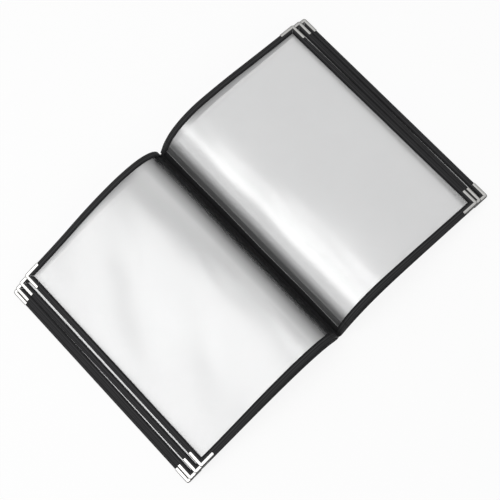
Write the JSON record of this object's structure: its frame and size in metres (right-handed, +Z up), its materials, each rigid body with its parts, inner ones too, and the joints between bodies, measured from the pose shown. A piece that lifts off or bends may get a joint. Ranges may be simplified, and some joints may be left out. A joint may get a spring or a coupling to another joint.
{
  "type": "menu cover",
  "caption": "Open menu cover: clear vinyl page pockets sewn into black cloth borders with metal corners, fanned out from a flexible cloth spine and lying flat on a table.",
  "frame": {"origin": "middle of the underside of the spine cover, on the table the cover lies on", "axes": "+Z up; +X across the spine towards the right-hand leaves; +Y along the spine towards the far end"},
  "size_m": [0.4849, 0.3146, 0.0511],
  "materials": {
    "cloth": "matte sewn leathercloth",
    "vinyl": "clear, glossy and slightly hazy",
    "metal": "nickel plated, satin"
  },
  "bodies": {
    "spine": {"spine_cover": "cloth", "spine_core": "cloth", "left_4_hinge_strip": "cloth", "left_3_hinge_strip": "cloth", "left_2_hinge_strip": "cloth", "left_1_hinge_strip": "cloth", "right_3_hinge_strip": "cloth", "right_2_hinge_strip": "cloth", "right_1_hinge_strip": "cloth"},
    "left_leaf_4": {"left_4_far_binding": "cloth", "left_4_fore_edge_binding": "cloth", "left_4_near_binding": "cloth", "left_4_front_sheet": "vinyl", "left_4_back_sheet": "vinyl", "left_4_far_corner": "metal", "left_4_near_corner": "metal"},
    "left_leaf_3": {"left_3_far_binding": "cloth", "left_3_fore_edge_binding": "cloth", "left_3_near_binding": "cloth", "left_3_front_sheet": "vinyl", "left_3_back_sheet": "vinyl", "left_3_far_corner": "metal", "left_3_near_corner": "metal"},
    "left_leaf_2": {"left_2_far_binding": "cloth", "left_2_fore_edge_binding": "cloth", "left_2_near_binding": "cloth", "left_2_front_sheet": "vinyl", "left_2_back_sheet": "vinyl", "left_2_far_corner": "metal", "left_2_near_corner": "metal"},
    "left_leaf_1": {"left_1_far_binding": "cloth", "left_1_fore_edge_binding": "cloth", "left_1_near_binding": "cloth", "left_1_front_sheet": "vinyl", "left_1_back_sheet": "vinyl", "left_1_far_corner": "metal", "left_1_near_corner": "metal"},
    "right_leaf_3": {"right_3_far_binding": "cloth", "right_3_fore_edge_binding": "cloth", "right_3_near_binding": "cloth", "right_3_front_sheet": "vinyl", "right_3_back_sheet": "vinyl", "right_3_far_corner": "metal", "right_3_near_corner": "metal"},
    "right_leaf_2": {"right_2_far_binding": "cloth", "right_2_fore_edge_binding": "cloth", "right_2_near_binding": "cloth", "right_2_front_sheet": "vinyl", "right_2_back_sheet": "vinyl", "right_2_far_corner": "metal", "right_2_near_corner": "metal"},
    "right_leaf_1": {"right_1_far_binding": "cloth", "right_1_fore_edge_binding": "cloth", "right_1_near_binding": "cloth", "right_1_front_sheet": "vinyl", "right_1_back_sheet": "vinyl", "right_1_far_corner": "metal", "right_1_near_corner": "metal"}
  },
  "joints": [
    {"name": "left_leaf_4_turn", "type": "hinge", "parent": "spine", "child": "left_leaf_4", "pos_m": [-0.02595, 0, 0.01978], "axis": [0, 1, 0], "range_deg": [0, 10], "deforming": ["left_4_hinge_strip"]},
    {"name": "left_leaf_3_turn", "type": "hinge", "parent": "left_leaf_4", "child": "left_leaf_3", "pos_m": [-0.02211, 0, 0.02345], "axis": [0, 1, 0], "range_deg": [0, 10], "deforming": ["left_3_hinge_strip"]},
    {"name": "left_leaf_2_turn", "type": "hinge", "parent": "left_leaf_3", "child": "left_leaf_2", "pos_m": [-0.01608, 0, 0.02766], "axis": [0, 1, 0], "range_deg": [0, 15], "deforming": ["left_2_hinge_strip"]},
    {"name": "left_leaf_1_turn", "type": "hinge", "parent": "left_leaf_2", "child": "left_leaf_1", "pos_m": [-0.00824, 0, 0.03073], "axis": [0, 1, 0], "range_deg": [0, 80], "deforming": ["left_1_hinge_strip"]},
    {"name": "right_leaf_3_turn", "type": "hinge", "parent": "spine", "child": "right_leaf_3", "pos_m": [0.02524, 0, 0.01932], "axis": [0, 1, 0], "range_deg": [-12, 0], "deforming": ["right_3_hinge_strip"]},
    {"name": "right_leaf_2_turn", "type": "hinge", "parent": "right_leaf_3", "child": "right_leaf_2", "pos_m": [0.02055, 0, 0.02414], "axis": [0, 1, 0], "range_deg": [-15, 0], "deforming": ["right_2_hinge_strip"]},
    {"name": "right_leaf_1_turn", "type": "hinge", "parent": "right_leaf_2", "child": "right_leaf_1", "pos_m": [0.01504, 0, 0.02785], "axis": [0, 1, 0], "range_deg": [-80, 0], "deforming": ["right_1_hinge_strip"]}
  ]
}
